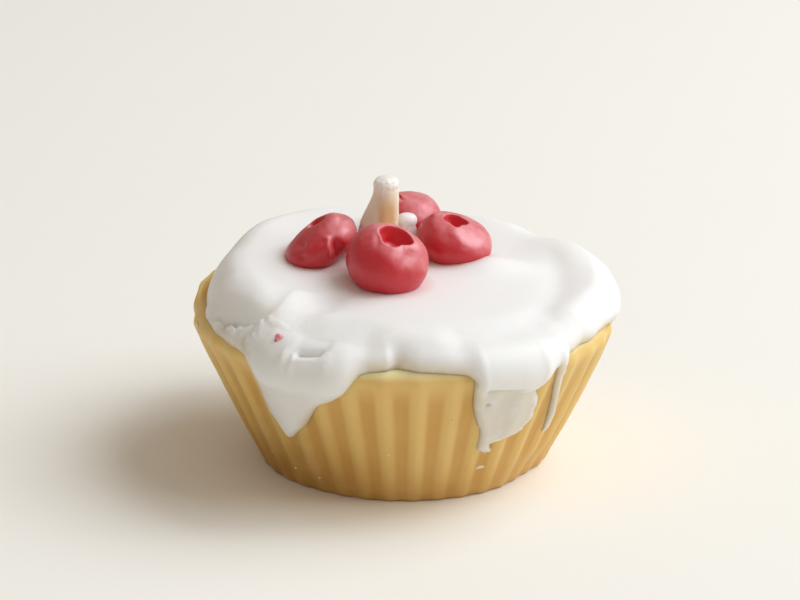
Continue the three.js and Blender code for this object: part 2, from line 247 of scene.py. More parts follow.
def mesh_object(name, points, faces, material, body="root"):
    """An object from points in millimetres, riding on a CAD body."""
    mesh = bpy.data.meshes.new(name)
    mesh.from_pydata([tuple(p) for p in np.asarray(points) * MM], [], faces)
    mesh.validate()
    mesh.update()
    mesh.shade_smooth()
    mesh.materials.append(material)
    made = bpy.data.objects.new(name, mesh)
    bpy.context.scene.collection.objects.link(made)
    if body:
        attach(made, body)
    return made


def skin(rings):
    """Points and faces of a closed skin over rings of equally many points, from bottom to top."""
    rings = np.asarray(rings)
    count, columns = rings.shape[:2]
    here = np.arange(columns)
    there = (here + 1) % columns
    faces = []
    for ring in range(count - 1):
        low, high = ring * columns, (ring + 1) * columns
        faces += np.stack([low + here, low + there, high + there, high + here], 1).tolist()
    points = np.vstack([rings.reshape(-1, 3), rings[0].mean(0), rings[-1].mean(0)])
    bottom, top, last = len(points) - 2, len(points) - 1, (count - 1) * columns
    faces += [[bottom, int(b), int(a)] for a, b in zip(here, there)]
    faces += [[top, last + int(a), last + int(b)] for a, b in zip(here, there)]
    return points, faces


def directions(vectors):
    """The vectors at length 1, with a zero one left as it is."""
    return vectors / np.maximum(np.linalg.norm(vectors, axis=1, keepdims=True), 1e-6)


def attribute(made, name, values):
    """A number at each point of a mesh, for its material."""
    layer = made.data.attributes.new(name, "FLOAT", "POINT")
    layer.data.foreach_set("value", np.asarray(values, np.float32))


# ---- The cup ----

FOOT_ROUND = 0.4
TOP_HOLLOW = 0.35  # how far the top lies below the rim, under the icing
CUP_COLUMNS_PER_FLUTE = 18
CUP_SIDE_RINGS = 44
CUP_RIM_RINGS = 12


def cup_mesh(cup):
    azimuth = all_round(cup.flutes * CUP_COLUMNS_PER_FLUTE)
    slant = 1 / math.cos(cup.side_angle)
    arc_end_z = cup.rim_centre_z - cup.rim_round * math.sin(cup.side_angle)
    side_end = cup.rim_arc + arc_end_z / math.cos(cup.side_angle)
    at_foot = cup.flute(azimuth, side_end)
    # Radius and height all round, from the middle of the foot to the middle of the top.
    sections = []
    for share in (0.0, 0.55, 0.9):
        radius = max(share * (cup.foot_radius - FOOT_ROUND), 0.5)
        sections.append((radius + share**4 * at_foot, 0.0))
    for turn in (0.0, 0.3, 0.6, 0.85, 1.0):
        angle = turn * (math.pi / 2)
        z = FOOT_ROUND * (1 - math.cos(angle))
        radius = cup.foot_radius - FOOT_ROUND * (1 - math.sin(angle)) + cup.SIDE_SLOPE * z * turn
        sections.append((radius + at_foot, z))
    side = np.linspace(side_end - z * slant - 0.3, cup.rim_arc, CUP_SIDE_RINGS)
    rim = np.linspace(cup.rim_arc, -0.6, CUP_RIM_RINGS)[1:]
    for s in [*side, *rim, -2.0, -9.0, -20.0]:
        radius, z, _, _ = cup.path(np.array(s))
        z = z - TOP_HOLLOW * (s < -1) + cup.raised(turn_between(azimuth, 0), s)
        sections.append((radius + cup.flute(azimuth, s), z))
    rings = []
    for radius, z in sections:
        x, y = polar(azimuth, radius)
        rings.append(np.stack([x, y, cup.lean(x, z)], 1))
    points, faces = skin(rings)
    out = directions(points * [1, 1, 0])
    unevenness = 0.09 * grain(points, 9, 3) + 0.03 * grain(points, 2.2, 4)
    on_side = window(points[:, 2], 0.3, 2, cup.height - 1.5, cup.height)
    return points + out * (unevenness * on_side)[:, None], faces


class CANDLE_OT_cup(bpy.types.Operator):
    """Builds the fluted cup of ochre wax"""

    bl_idname = "candle.cup"
    bl_label = "Fluted Cup"

    def execute(self, context):
        cup = Cup(context.scene.candle_sizes)
        material = moulded_wax(context.scene.candle_colours, cup)
        made = mesh_object("fluted_cup", *cup_mesh(cup), material)
        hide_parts("cake")
        return {"FINISHED"}


# ---- The icing ----

# The front edge of the icing from left to right: azimuth in degrees, and how far it has run down
# the cup's outline in millimetres.
FRONT_EDGE = (
    (-76, 0.6), (-65, 1.3), (-56, 1.8), (-50, 2.1), (-46, 2.6), (-43.2, 4.0), (-42.9, 7.4),
    (-42.9, 12.0), (-41.2, 14.6), (-39.6, 16.3), (-38.0, 17.1), (-36.3, 16.5), (-30.5, 13.5),
    (-27.5, 11.1), (-24.2, 8.6), (-22.6, 7.8), (-19.5, 7.0), (-16.2, 5.4), (-13.8, 3.6),
    (-11.5, 2.0), (-9.6, 1.5), (-6.6, 1.2), (-4.2, 1.0), (-2.5, 0.4), (-1.3, 0.45), (1.2, 0.9),
    (3.8, 1.2), (6.2, 1.3), (10.5, 1.5), (15, 1.8), (16.8, 2.1), (18.4, 2.9), (18.5, 4.6),
    (18.9, 7.1), (20.1, 10.0), (21.5, 12.2), (22.6, 13.1), (23.3, 15.6), (23.0, 17.5), (26.4, 18.6),
    (29.6, 18.4), (27.6, 16.6), (31.2, 16.2), (34, 15.7), (36.8, 15.6), (38.6, 14.9), (38.4, 13.9),
    (39.9, 13.1), (40.7, 12.1), (40.1, 11.0), (40.4, 9.8), (39.9, 8.0), (37.6, 6.0), (39.0, 4.5),
    (41.6, 3.3), (44.0, 2.9), (44.8, 4.3), (46.2, 7.2), (47.9, 10.2), (48.9, 12.9), (49.7, 15.4),
    (50.2, 17.9), (51.2, 16.7), (51.1, 13.3), (50.0, 11.0), (49.1, 8.8), (48.2, 6.9), (47.2, 5.0),
    (46.6, 3.2), (48.8, 1.9), (55.8, 1.3), (62, 1.5), (69, 1.3), (77, 1.7),
)

# Behind, the edge keeps near one line, with soft waves (azimuth, rise, half width) and three drips
# (azimuth of the tip, reach, spread).
EDGE_REACH = 1.5
EDGE_WAVES = ((-94, -2.0, 28), (-116, -0.9, 12), (72, 0.5, 18), (128, 0.5, 12), (-152, 0.6, 14))
BACK_DRIPS = ((142, 8.5, 9), (171, 12.0, 7.5), (-138, 7.0, 8.5))

# Thickness of the drips over the rim and on the side: from and to azimuth, lip and side.
DRIP_THICKNESS = (
    (-44.5, -11.5, 2.6, 1.7),
    (17, 42, 2.8, 1.0),
    (45.5, 51, 2.2, 0.85),
    (134, 152, 3.8, 2.0),
    (162, 177, 2.9, 1.7),
    (-146, -129, 4.0, 2.0),
)
FULL_EDGE = 4.6
EDGE_ROUND = 5.0  # how far in from its edge the icing is full
# On the right it is thicker and full nearer its edge: azimuth, half width, rise and that distance.
EDGE_SWELL = (103, 34, 1.9, 3.3)
GAP = 0.35  # between the cup's top and the icing's underside in the solids
LIP_FADE = 9.0  # degrees over which a drip's lip widens into its neighbours

# Hollows and swells of the top: x, y, half widths, the turn of their axes, and rise.
SWELLS = (
    (-13, -19, 6.5, 5, 30, -1.1),
    (-22, -18, 2.4, 8, 20, 0.7),
    (-12, -27, 6, 2.5, 15, -0.5),
    (-12, 22, 12, 8, 0, 1.0),
    (-24, 14, 7, 8, 0, 1.15),
    (27, 9, 5.5, 9, 15, 2.1),
    (16, 24, 7, 6, 0, 1.3),
    (-6, 25, 6, 4, 0, -0.6),
    (10, -1, 6, 5, 0, 0.5),
    (14.5, -1.3, 6.5, 4, 15, 1.5),
    (-28.2, 6.5, 3, 3.5, 0, -0.5),
    (19, 21.2, 2.5, 2.5, 0, 0.45),
    (24.3, 17, 3.2, 3, 0, -0.75),
    (31, 8.8, 3, 4, 0, 0.6),
)
CROWN_RISE = 0.7
CROWN_RADIUS = 27.0
TILT_RIGHT = -0.045
TILT_BACK = 0.05
# The swirl's groove, an arc over the right of the top: x of its middle, radius, half width, depth.
SWIRL = (-22, 46.8, 2.2, 0.42)
# The edge is laid flat on a cylinder of 31 mm, so that turns become millimetres.
MM_PER_DEGREE = 31.0 * math.radians(1)
EDGE_STEP = 0.1
# Distances from the edge at which rows of points follow it, on the face and on the underside.
FACE_ROWS = (0.06, 0.18, 0.36, 0.6, 0.95)
UNDER_ROWS, UNDER_STEP = (0.5,), 1.6
# Where the wax is broken its face has finer steps: from and to azimuth, from and to s.
BROKEN = ((-80, -12, -3.5, 4.0), (16, 44, 2.5, 19.0))
FINE_SHARE = 0.45
LOWEST_DRIP = 19

# On the left the dome's front is torn off: azimuth, s where it ends, and the icing's height there.
TORN_EDGE = (
    (-80, 1.0, 0.5), (-72, 1.0, 0.6), (-66, 0.7, 1.0), (-62, 0.3, 1.15), (-58.5, 0.2, 0.9),
    (-56, 0.1, 1.35), (-52, -0.1, 1.9), (-49, -0.3, 2.3), (-46.8, -0.3, 2.4), (-45, -0.7, 3.4),
    (-43, -0.8, 3.7), (-34, -0.9, 4.6),
)
FILM = 0.9  # thickness of the skirt at its edge
# Lumps along the crest: azimuth, s, half width, and how far they stand out.
CREST_LUMPS = (
    (-66, 0.9, 0.45, 0.5), (-62.6, 1.1, 0.5, 0.6), (-52.8, 0.8, 0.9, 0.4),
    (-49.4, 0.6, 0.7, 0.3), (-43.8, 0.2, 1.1, 0.8),
    (-31, 1.9, 0.6, 0.5), (-28.5, 2.3, 0.5, 0.35), (-19.5, 1.7, 0.6, 0.3),
)
# The ridge beside it, from behind to the front: x at each y.
RIDGE_LINE = ((-15.4, -17.0), (-17.6, -17.8), (-21.0, -19.2), (-22.3, -21.0), (-25.5, -21.6))
# The slit in the drip's shoulder: azimuth, s, half width, half height.
SLIT = (-24.6, 1.25, 3.4, 0.26)


def flap(azimuth, s, full):
    """The drip on the right: under its thick upper part it is a thin pane with a thicker rim on
    the right, and a crack and a pit at the top of the pane."""
    ledge = 3.55 + 0.05 * (azimuth - 22)
    across = window(azimuth, 19.5, 22, 40, 43)
    under = np.minimum(full, 1.5 + 0.8 * smooth(36.5, 38.5, azimuth))
    full = full + (under - full) * across * smooth(-0.5, ledge + 0.2, s)
    blend = 0.6 + 2.2 * smooth(28, 35, azimuth)
    pane = across * smooth(ledge, ledge + blend, s) * smooth(38.8, 37.2, azimuth)
    full = full + (0.85 - full) * pane
    crack = bell((s - ledge - 0.3) / 0.2) * window(azimuth, 20, 22, 30, 33)
    pit = bell(np.hypot((azimuth - 22.5) * 0.54, s - 7.1) / 0.4)
    return np.maximum(0.12, full - 0.5 * crack - 0.5 * pit)


def torn_face(azimuth, s, edge, thick):
    """Under the torn crest on the left, a rough skirt falls to a thin film over the rim."""
    at, end, height = np.array(TORN_EDGE).T
    end, height = np.interp(azimuth, at, end), np.interp(azimuth, at, height)
    inset = np.clip((end - s) / 2.4, 0, 1)
    dome = height + np.maximum(0, thick - height) * quarter_round(inset)
    fall = np.clip((s - end) / np.maximum(0.1, s - end + edge), 0, 1)
    face = FILM + (height - FILM) * (1 - fall) ** 1.1
    face = face * quarter_round(np.minimum(1, edge / 0.8))
    share = window(azimuth, -80, -74, -45, -34)
    crest = bell((s - end - 0.35) / 0.6) * share
    torn = share * smooth(-0.3, 0.4, s - end) * smooth(7, 3, s)
    return thick + (np.where(s < end, dome, face) - thick) * share, crest, torn


def ridge_beside(azimuth, s, points):
    """A ridge parts the dome from a bright patch that falls off to the right."""
    line_y, line_x = np.array(RIDGE_LINE[::-1]).T
    off = points[:, 0] - np.interp(points[:, 1], line_y, line_x)
    along = smooth(-14.4, -16.2, points[:, 1]) * smooth(0.6, -1.2, s)
    left = np.exp(np.minimum(off, 0) / 1.2)
    right = 1 - 1.5 * smooth(0, 6, off) + 0.5 * smooth(6, 10, off)
    near = along * window(azimuth, -58, -54, -16, -8)
    return near * np.where(off < 0, left, right), near * smooth(-0.6, 0.2, off) * (off < 7)


def lumps(azimuth, s):
    """The lumps along the torn crest and under the slit."""
    result = np.zeros(len(s))
    for middle, low, half, height in CREST_LUMPS:
        away = np.hypot((azimuth - middle) * MM_PER_DEGREE, s - low)
        result = np.maximum(result, height * bell(away / half))
    return result


class Icing:
    """The icing's shape: its edge, its thickness and its relief, over places on the cup's path."""

    SINK = 0.12  # how far the underside lies inside the cup's wax, so that no gap shows

    def __init__(self, sizes):
        self.cup = Cup(sizes)
        self.thickness_on_top = sizes.icing_thickness / MM
        self.step = sizes.icing_step / MM
        self.edge = self.outline()

    def back_reach(self, azimuth):
        reach = np.full(len(azimuth), EDGE_REACH)
        for middle, rise, half in EDGE_WAVES:
            reach += rise * hill(azimuth, middle, half)
        for middle, length, spread in BACK_DRIPS:
            share = np.abs(turn_between(azimuth, middle)) / spread
            drip = length * (1 - 0.6 * share**2) * np.sqrt(np.maximum(0, 1 - share**6))
            reach = np.maximum(reach, drip)
        return reach

    def outline(self):
        """The closed edge, evenly spaced, as azimuth and reach."""
        front = np.array(FRONT_EDGE)
        behind = np.arange(front[-1, 0] + 2, front[0, 0] + FULL_TURN - 1, 0.5)
        rest = np.stack([behind, self.back_reach(turn_between(behind, 0))], 1)
        knots = np.vstack([front, rest, front[:1] + [FULL_TURN, 0]])
        flat = knots * [MM_PER_DEGREE, 1]
        along = np.append(0, np.cumsum(np.linalg.norm(np.diff(flat, axis=0), axis=1)))
        count = int(along[-1] / EDGE_STEP)
        at = along[-1] * np.arange(count) / count
        fine = np.stack([np.interp(at, along, flat[:, i]) for i in (0, 1)], 1)
        # A short kernel rounds the corners.
        kernel = bell(np.arange(-5, 6) / 2.4)
        kernel /= kernel.sum()
        turns = (flat[-1, 0] - flat[0, 0], 0)
        fine = np.stack([soften(fine[:, i], kernel, turns[i]) for i in (0, 1)], 1)
        # The broken edge of the flap is jagged.
        azimuth = fine[:, 0] / MM_PER_DEGREE
        jagged = window(azimuth, 24, 26, 40, 42) * smooth(5, 7, fine[:, 1])
        place = np.stack([fine[:, 0], fine[:, 1], np.zeros(count)], 1)
        fine[:, 1] += 0.32 * jagged * grain(place, 1.1, 11)
        fine[:, 0] += 0.28 * jagged * grain(place, 0.9, 12)
        return fine

    def edge_distance(self, azimuth, s):
        """Distance to the edge, laid flat, in millimetres; well inside it is taken as far."""
        place = np.stack([azimuth * MM_PER_DEGREE, s], 1)
        span = FULL_TURN * MM_PER_DEGREE
        edge = np.vstack([self.edge + [k * span, 0] for k in (-1, 0, 1)])
        near = s > -9
        chosen = place[near]
        found = np.empty(len(chosen))
        for start in range(0, len(chosen), 2000):
            part = chosen[start : start + 2000]
            low, high = part[:, 0].min() - 10, part[:, 0].max() + 10
            local = edge[(edge[:, 0] > low) & (edge[:, 0] < high)]
            gaps = ((part[:, None, :] - local[None]) ** 2).sum(2)
            found[start : start + 2000] = np.sqrt(gaps.min(1))
        result = np.full(len(place), 1e3)
        result[near] = found
        return result

    def cover(self, x, y):
        """Thickness over the flat top."""
        from_axis = np.minimum(1, np.hypot(x, y) / CROWN_RADIUS)
        height = self.thickness_on_top + CROWN_RISE * (1 - from_axis**2)
        height = height + TILT_RIGHT * x + TILT_BACK * y
        for cx, cy, half_x, half_y, turn, rise in SWELLS:
            c, s = math.cos(math.radians(turn)), math.sin(math.radians(turn))
            dx, dy = x - cx, y - cy
            along, across = (dx * c + dy * s) / half_x, (dy * c - dx * s) / half_y
            height = height + rise * bell(np.hypot(along, across))
        middle, radius, half, depth = SWIRL
        groove = bell((np.hypot(x - middle, y) - radius) / half)
        return height - depth * (groove * smooth(5, 15, x) * smooth(-16, -4, -y))

    def top(self, x, y):
        """Height of the icing's face over the flat top."""
        return self.cup.lean(x, self.cup.height + GAP + self.cover(x, y))

    def side_thickness(self, azimuth):
        """Thickness over the rim, and further down the side."""
        middle, half, rise, _ = EDGE_SWELL
        lip = FULL_EDGE + rise * hill(azimuth, middle, half)
        side = lip.copy()
        for start, stop, drip_lip, drip_side in DRIP_THICKNESS:
            middle, half = (start + stop) / 2, (stop - start) / 2
            beyond = np.maximum(0, np.abs(turn_between(azimuth, middle)) - half)
            drip = np.minimum(lip, drip_lip)
            lip = drip + (lip - drip) * smooth(0, LIP_FADE, beyond)
            side = np.where(beyond < 3, np.minimum(side, drip_side), side)
        return lip, side

    def thickness(self, azimuth, s, edge):
        on_top = np.maximum(0, self.cup.top_radius + np.minimum(s, 0))
        lip, side = self.side_thickness(azimuth)
        over = self.cover(*polar(azimuth, on_top))
        over = over + (lip - over) * smooth(-7, 3, s)
        early = hill(azimuth, 48, 4)  # the run is narrow from its top
        thin = smooth(2.5 - early, 6 - 2 * early, s)
        full = over + (np.minimum(over, side) - over) * thin
        full = flap(azimuth, s, full) + GAP + self.SINK
        middle, half, _, steep = EDGE_SWELL
        right = hill(azimuth, middle, half)
        inset = np.minimum(1, edge / np.minimum(full, EDGE_ROUND + (steep - EDGE_ROUND) * right))
        return full * quarter_round(inset)

    def relief(self, azimuth, s, edge, thick, points):
        """The thickness with its unevenness: soft over the poured wax, rough where it is torn."""
        thick, crest, torn = torn_face(azimuth, s, edge, thick)
        ridge, patch = ridge_beside(azimuth, s, points)
        middle, low, half, height = SLIT
        away = np.abs(azimuth - middle)
        down = s - low - 0.05 * (middle - azimuth)
        slit = smooth(half + 0.6, half - 0.8, away) * bell(down / height)
        lip = smooth(half + 1.6, half, away) * bell((down - 0.6) / 0.3)
        brow = smooth(half + 2.5, half, away) * smooth(-2.2, -0.3, down) * (down < 0)
        coarse, fine = grain(points, 1.7, 23), grain(points, 0.8, 24, 1)
        mask = np.clip(0.12 * patch + 0.75 * crest + 0.6 * torn + 0.5 * lip, 0, 1)
        soft = 0.14 * grain(points, 11, 21, 1) + 0.04 * grain(points, 4, 22, 1)
        height = soft + (0.42 * coarse + 0.18 * fine) * mask + 0.6 * ridge + 0.45 * crest
        height += lumps(azimuth, s) * (1 + 0.5 * fine) - 1.0 * slit + 0.3 * lip - 0.35 * brow
        return np.maximum(0, thick + height * np.minimum(1, thick / 1.2))

    def lift(self, azimuth, s):
        """The front edge is lifted off the rim between the drips."""
        return 0.3 * hill(azimuth, -1.5, 4.5) * smooth(-6, -1, s)

    def place(self, azimuth, s, offset):
        """Points at offsets out of the cup's face."""
        radius, z, out, up = self.cup.path(s)
        follow = self.cup.flute(azimuth, s) * np.exp(-np.maximum(0, offset) / 1.5)
        x, y = polar(azimuth, radius + follow + offset * out)
        return np.stack([x, y, self.cup.lean(x, z + offset * up + self.lift(azimuth, s))], 1)

    def layout(self, points):
        """Azimuth and s of points of the flat layout, a disc that spreads the side outwards."""
        azimuth = np.degrees(np.arctan2(points[:, 0], -points[:, 1]))
        return azimuth, np.hypot(points[:, 0], points[:, 1]) - self.cup.top_radius

    def spread(self, azimuth, s):
        """Points of the flat layout at places on the cup's path."""
        return np.stack(polar(azimuth, self.cup.top_radius + s), 1)

    def fill(self, rows, step):
        """Triangles over the flat layout: the edge, rows of points inside it at the distances rows,
        and a grid of triangles with a step."""
        edge = self.edge[::2]
        flat = self.spread(edge[:, 0] / MM_PER_DEGREE, edge[:, 1])
        ahead = np.roll(edge, -1, 0) - edge
        ahead[-1, 0] += FULL_TURN * MM_PER_DEGREE
        along = directions(ahead) + directions(np.roll(ahead, 1, 0))
        inwards = directions(np.stack([along[:, 1], -along[:, 0]], 1))
        extra = []
        for row, distance in enumerate(rows):
            moved = (edge + distance * inwards)[row % 2 :: 1 + (distance > 0.5)]
            azimuth, s = moved[:, 0] / MM_PER_DEGREE, moved[:, 1]
            kept = self.edge_distance(turn_between(azimuth, 0), s) > 0.93 * distance
            extra.append(self.spread(azimuth, s)[kept])
        for spacing, fine in ((step, False), (step * FINE_SHARE, True)):
            grid = self.grid(spacing)
            azimuth, s = self.layout(grid)
            broken = np.zeros(len(grid), bool)
            for start, stop, low, high in BROKEN if step < 1 else ():
                broken |= (azimuth > start) & (azimuth < stop) & (s > low) & (s < high)
            grid = grid[(broken == fine) & (s < LOWEST_DRIP)]
            grid = grid[self.inside(flat, grid)]
            extra.append(grid[self.edge_distance(*self.layout(grid)) > rows[-1] + 0.5 * spacing])
        points = np.vstack([flat, *extra])
        ring = [(i, (i + 1) % len(flat)) for i in range(len(flat))]
        found = delaunay_2d_cdt([Vector(p) for p in points], ring, [], 1, 1e-6, False)
        points = np.array([tuple(p) for p in found[0]])
        faces = np.array([list(f) for f in found[2]])
        faces = faces[self.inside(flat, points[faces].mean(1))]
        return points, faces.tolist(), len(flat)

    def grid(self, step):
        """A flat grid of evenly spaced points in rows set off by half a step."""
        span = self.cup.top_radius + 20
        gx, gy = np.meshgrid(
            np.arange(-span, span, step), np.arange(-span, span, step * math.sqrt(3) / 2)
        )
        gx[1::2] += step / 2
        return np.stack([gx.ravel(), gy.ravel()], 1)

    def inside(self, ring, points):
        """Which points lie inside a closed ring, by counting the sides that a ray crosses."""
        result = self.layout(points)[1] < -4
        test = np.flatnonzero(~result)
        x, y = points[test, 0], points[test, 1]
        hits = np.zeros(len(test), int)
        for (ax, ay), (bx, by) in zip(ring, np.roll(ring, -1, 0)):
            crosses = (ay > y) != (by > y)
            if crosses.any():
                hits[crosses] += x[crosses] < (bx - ax) * (y[crosses] - ay) / (by - ay) + ax
        result[test] = hits % 2 == 1
        return result

    def face(self, azimuth, s, edge):
        """Points of the icing's face and its thickness there."""
        thick = self.thickness(azimuth, s, edge)
        first = self.place(azimuth, s, thick - self.SINK)
        thick = self.relief(azimuth, s, edge, thick, first)
        return self.place(azimuth, s, thick - self.SINK), thick

    def mesh(self):
        """Points, faces and the thickness at each point of the closed icing."""
        flat, faces, rim = self.fill(FACE_ROWS, self.step)
        azimuth, s = self.layout(flat)
        edge = self.edge_distance(azimuth, s)
        edge[:rim] = 0
        face, thick = self.face(azimuth, s, edge)
        low_flat, low_faces, low_rim = self.fill(UNDER_ROWS, UNDER_STEP)
        under = self.place(*self.layout(low_flat), np.full(len(low_flat), -self.SINK))
        points = np.vstack([face, under[low_rim:]])
        shift = len(face) - low_rim
        turned = [[i if i < low_rim else i + shift for i in reversed(f)] for f in low_faces]
        return points, faces + turned, np.append(thick, np.full(len(under) - low_rim, 1.0))


class CANDLE_OT_icing(bpy.types.Operator):
    """Pours the white icing with its drips, its torn patch and its swirl"""

    bl_idname = "candle.icing"
    bl_label = "Poured Icing"

    def execute(self, context):
        points, faces, thick = Icing(context.scene.candle_sizes).mesh()
        material = poured_wax(context.scene.candle_colours)
        made = mesh_object("poured_icing", points, faces, material)
        attribute(made, "thickness", thick)
        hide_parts("icing")
        return {"FINISHED"}


# ---- The berries ----

# Each berry: the middle, radius across, half height, the way the core faces (azimuth and lean), and
# the core's radius, depth and shift to the right.
BERRIES = {
    "berry_front": ((-2.6, -10.2, 35.7), 6.5, 5.25, (36, 25), (2.6, 3.0, 0.0)),
    "berry_left": ((-13.4, -0.6, 35.5), 6.5, 3.45, (-88, 33), (1.65, 2.2, 1.5)),
    "berry_right": ((8.1, 2.4, 35.05), 6.15, 3.85, (50, 18), (1.95, 2.4, -0.8)),
    "berry_back": ((0.4, 12.2, 35.65), 5.75, 4.45, (-20, 12), (0.75, 1.1, -1.6)),
}
# The mouths of the cores: turn round the mouth from the front, and reach as a share of the radius.
CORE_SHAPES = {
    "berry_front": (
        (-153, 1.0), (-111, 1.12), (-72, 0.9), (-32, 1.08), (-4, 1.1), (32, 0.8), (63, 1.08),
        (82, 1.22), (117, 0.98), (162, 0.92),
    ),
    "berry_left": ((-150, 0.8), (-95, 1.1), (-40, 0.75), (20, 0.9), (85, 1.15), (140, 0.8)),
    "berry_right": (
        (-160, 0.95), (-110, 1.05), (-70, 1.1), (-30, 0.85), (5, 1.3), (40, 0.85),
        (75, 1.1), (95, 1.2), (140, 0.85),
    ),
    "berry_back": ((-160, 0.7), (-100, 1.2), (-40, 0.8), (10, 1.0), (60, 1.5), (130, 0.8)),
}
# Dents and bumps, seen from the front and a little above: millimetres right and up of the middle,
# half width, half height, and how far they stand out.
BERRY_MARKS = {
    "berry_front": (
        (3.9, 0.6, 1.6, 0.9, -0.2), (2.7, 1.3, 0.4, 1.0, 0.12), (-2.3, 3.2, 0.5, 1.0, 0.1),
        (-1.6, 2.9, 0.35, 1.0, -0.12), (3.2, -4.1, 1.3, 0.5, -0.15),
    ),
    "berry_left": (
        (2.7, -0.9, 0.95, 1.7, -0.8), (1.35, -1.2, 0.35, 1.6, 0.3), (1.0, 0.7, 0.5, 0.35, 0.2),
        (2.1, -1.7, 0.13, 1.1, -0.15), (2.7, -1.5, 0.13, 1.2, -0.18), (3.3, -1.2, 0.13, 1.1, -0.15),
        (-2.9, -0.5, 0.8, 0.8, -0.5), (-1.7, -1.2, 0.5, 1.0, 0.2), (-2.8, -2.4, 0.6, 0.6, -0.4),
    ),
    "berry_right": ((-3.4, 4.2, 0.7, 0.4, 0.3), (0.6, 0.0, 1.6, 0.7, -0.1)),
    "berry_back": (
        (0.9, 3.7, 0.8, 0.35, -0.35), (-0.9, 3.2, 0.5, 0.3, -0.3), (2.2, 3.4, 0.5, 0.3, -0.15),
    ),
}
BERRY_COLUMNS = 120
BERRY_RINGS = 60
CORE_RINGS = 18


def berry_profile(radius, half, core_radius, depth):
    """Rows from the foot over the lip and down the core: radius, height, how far the mouth's shape
    shows, and how deep in the core."""
    mouth = math.asin(core_radius / radius)
    rows = []
    for share in np.linspace(0.03, 1, BERRY_RINGS):
        angle = math.pi + (mouth - math.pi) * share
        # The lower half is fuller, as of a piece that has sat down soft.
        full = 0.72 if angle > math.pi / 2 else 1.0
        star = float(smooth(0.72, 1, share))
        rows.append((radius * math.sin(angle) ** full, half * math.cos(angle), star, 0.0))
    lip = half * math.cos(mouth)
    for share in np.linspace(0, 0.97, CORE_RINGS)[1:]:
        inner = float(np.interp(share, [0, 0.25, 0.7, 1], [1, 0.86, 0.55, 0]))
        fall = float(np.interp(share, [0, 0.1, 0.3, 0.75, 1], [0, 0.08, 0.35, 0.85, 1]))
        rows.append((core_radius * inner, lip - depth * fall, 1 - 0.3 * share, share))
    return rows


def berry_mesh(name, icing):
    centre, radius, half, (faces_to, lean), (core_radius, depth, core_right) = BERRIES[name]
    rows = berry_profile(radius, half, core_radius, depth)
    turn = all_round(BERRY_COLUMNS)
    around, reach = np.array(CORE_SHAPES[name]).T
    wave = np.interp(turn_between(turn, 0), around, reach, period=FULL_TURN)
    wave = soften(wave, np.ones(5) / 5) - 1
    tip = np.array(Matrix.Rotation(math.radians(lean), 3, Vector((*polar(faces_to + 90, 1.0), 0))))
    rings = []
    for r, z, star, _ in rows:
        x, y = polar(turn, r * (1 + star * wave))
        rings.append(np.stack([x + core_right * star, y, np.full(BERRY_COLUMNS, z)], 1) @ tip.T)
    points, faces = skin(rings)
    out = directions(points)
    deep = np.append(np.repeat([row[3] for row in rows], BERRY_COLUMNS), [0, 1])
    seed = 31 + list(BERRIES).index(name)
    bumps = 0.16 * grain(points, 4.5, seed, 1) + 0.06 * grain(points, 1.6, seed + 10)
    bumps = bumps + 0.12 * grain(points, 0.8, seed + 20, 1) * smooth(0, 0.1, deep)
    up = np.array([0, math.sin(VIEW_RISE), math.cos(VIEW_RISE)])
    towards = np.array([0, -math.cos(VIEW_RISE), math.sin(VIEW_RISE)])
    for right, above, half_width, half_height, height in BERRY_MARKS[name]:
        mark = bell((points[:, 0] - right) / half_width) * bell((points @ up - above) / half_height)
        bumps += height * mark * smooth(0, 0.2, out @ towards)
    points = points + out * (bumps * (1 - 0.8 * deep))[:, None] + centre
    floor = icing.top(points[:, 0], points[:, 1]) - 0.3
    points[:, 2] = np.maximum(points[:, 2], floor)
    return points, faces, deep


class CANDLE_OT_berries(bpy.types.Operator):
    """Sets the four red wax berries on the icing"""

    bl_idname = "candle.berries"
    bl_label = "Berries"

    def execute(self, context):
        icing = Icing(context.scene.candle_sizes)
        material = dyed_wax(context.scene.candle_colours)
        for name in BERRIES:
            points, faces, deep = berry_mesh(name, icing)
            made = mesh_object("wax_" + name, points, faces, material)
            attribute(made, "core", deep)
            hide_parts(name)
        return {"FINISHED"}


# ---- The wick, the bead and the flecks ----

WICK_Y = 1.4
# Stations up the wick: height below the tip, x of the middle, and radius.
WICK_STATIONS = (
    (-12.75, -4.3, 3.5), (-10.1, -4.2, 3.3), (-7.5, -4.0, 3.1), (-5.1, -3.4, 2.5),
    (-2.8, -2.9, 2.04), (-1.9, -2.88, 2.08), (-1.1, -2.9, 2.14), (-0.5, -2.9, 1.95),
    (-0.12, -2.9, 1.3), (0.0, -2.85, 0.4),
)
POST_COLUMNS = 72


def post(rows, y):
    """A skin round a bent upright: rows of height, x and radius."""
    turn = all_round(POST_COLUMNS)
    rings = []
    for z, x, radius in rows:
        dx, dy = polar(turn, radius)
        rings.append(np.stack([x + dx, y + dy, np.full(POST_COLUMNS, z)], 1))
    return skin(rings)


